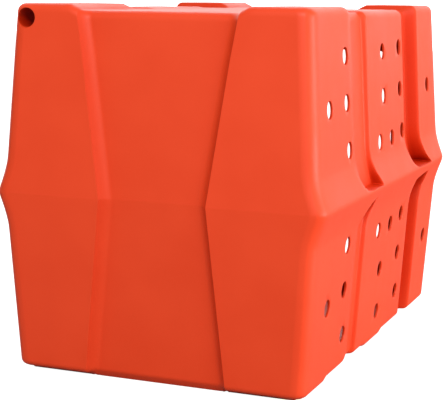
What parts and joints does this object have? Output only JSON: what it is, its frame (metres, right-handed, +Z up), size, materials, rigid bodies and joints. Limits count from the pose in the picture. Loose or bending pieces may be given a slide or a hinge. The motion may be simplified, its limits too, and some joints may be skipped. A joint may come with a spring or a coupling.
{
  "type": "pet transport kennel",
  "caption": "One-piece rotationally moulded pet transport kennel with side vents, a flared belt, stacking blocks and a hinged wire door with a squeeze latch.",
  "frame": {"origin": "centre of the kennel's flat base", "axes": "+Z up, doorway faces -Y, closed rear wall faces +Y, door hinged on the +X side"},
  "size_m": [0.6311, 1.3287, 0.673],
  "materials": {
    "moulded_polyethylene": "fine satin skin from the mould",
    "powder_coated_steel": "black powder coat",
    "stainless_steel": "brushed",
    "insert_brass": "turned",
    "black_nylon": "fine spark texture"
  },
  "bodies": {
    "kennel": {"kennel_shell": "moulded_polyethylene", "upper_hinge_bracket": "stainless_steel", "lower_hinge_bracket": "stainless_steel", "upper_keeper": "stainless_steel", "lower_keeper": "stainless_steel", "hinge_screws": "stainless_steel", "keeper_screws": "stainless_steel", "threaded_inserts": "insert_brass", "hinge_washer": "black_nylon"},
    "door": {"door_frame": "powder_coated_steel", "door_uprights": "powder_coated_steel", "door_cross_wires": "powder_coated_steel", "hinge_pin_rod": "powder_coated_steel", "hinge_collar": "powder_coated_steel", "rod_caps": "black_nylon", "rod_guides": "powder_coated_steel", "latch_cover": "black_nylon", "latch_back_plate": "black_nylon", "latch_screws": "stainless_steel", "upper_latch_spring": "stainless_steel", "lower_latch_spring": "stainless_steel"},
    "upper_latch": {"upper_latch_rod": "stainless_steel", "upper_finger_tab": "black_nylon"},
    "lower_latch": {"lower_latch_rod": "stainless_steel", "lower_finger_tab": "black_nylon"}
  },
  "joints": [
    {"name": "door_swing", "type": "hinge", "parent": "kennel", "child": "door", "pos_m": [0.21405, -0.45305, 0.321], "axis": [0, 0, 1], "range_deg": [-100, 55]},
    {"name": "upper_latch_slide", "type": "slide", "parent": "door", "child": "upper_latch", "axis": [0, 0, -1], "range_m": [0, 0.012], "stiffness_N_per_m": 400, "springref_m": -0.01, "deforming": ["upper_latch_spring"]},
    {"name": "lower_latch_slide", "type": "slide", "parent": "door", "child": "lower_latch", "axis": [0, 0, 1], "range_m": [0, 0.012], "stiffness_N_per_m": 400, "springref_m": -0.01, "deforming": ["lower_latch_spring"]}
  ],
  "couplings": [
    {"joint": "lower_latch_slide", "follows": "upper_latch_slide", "ratio": 1}
  ]
}
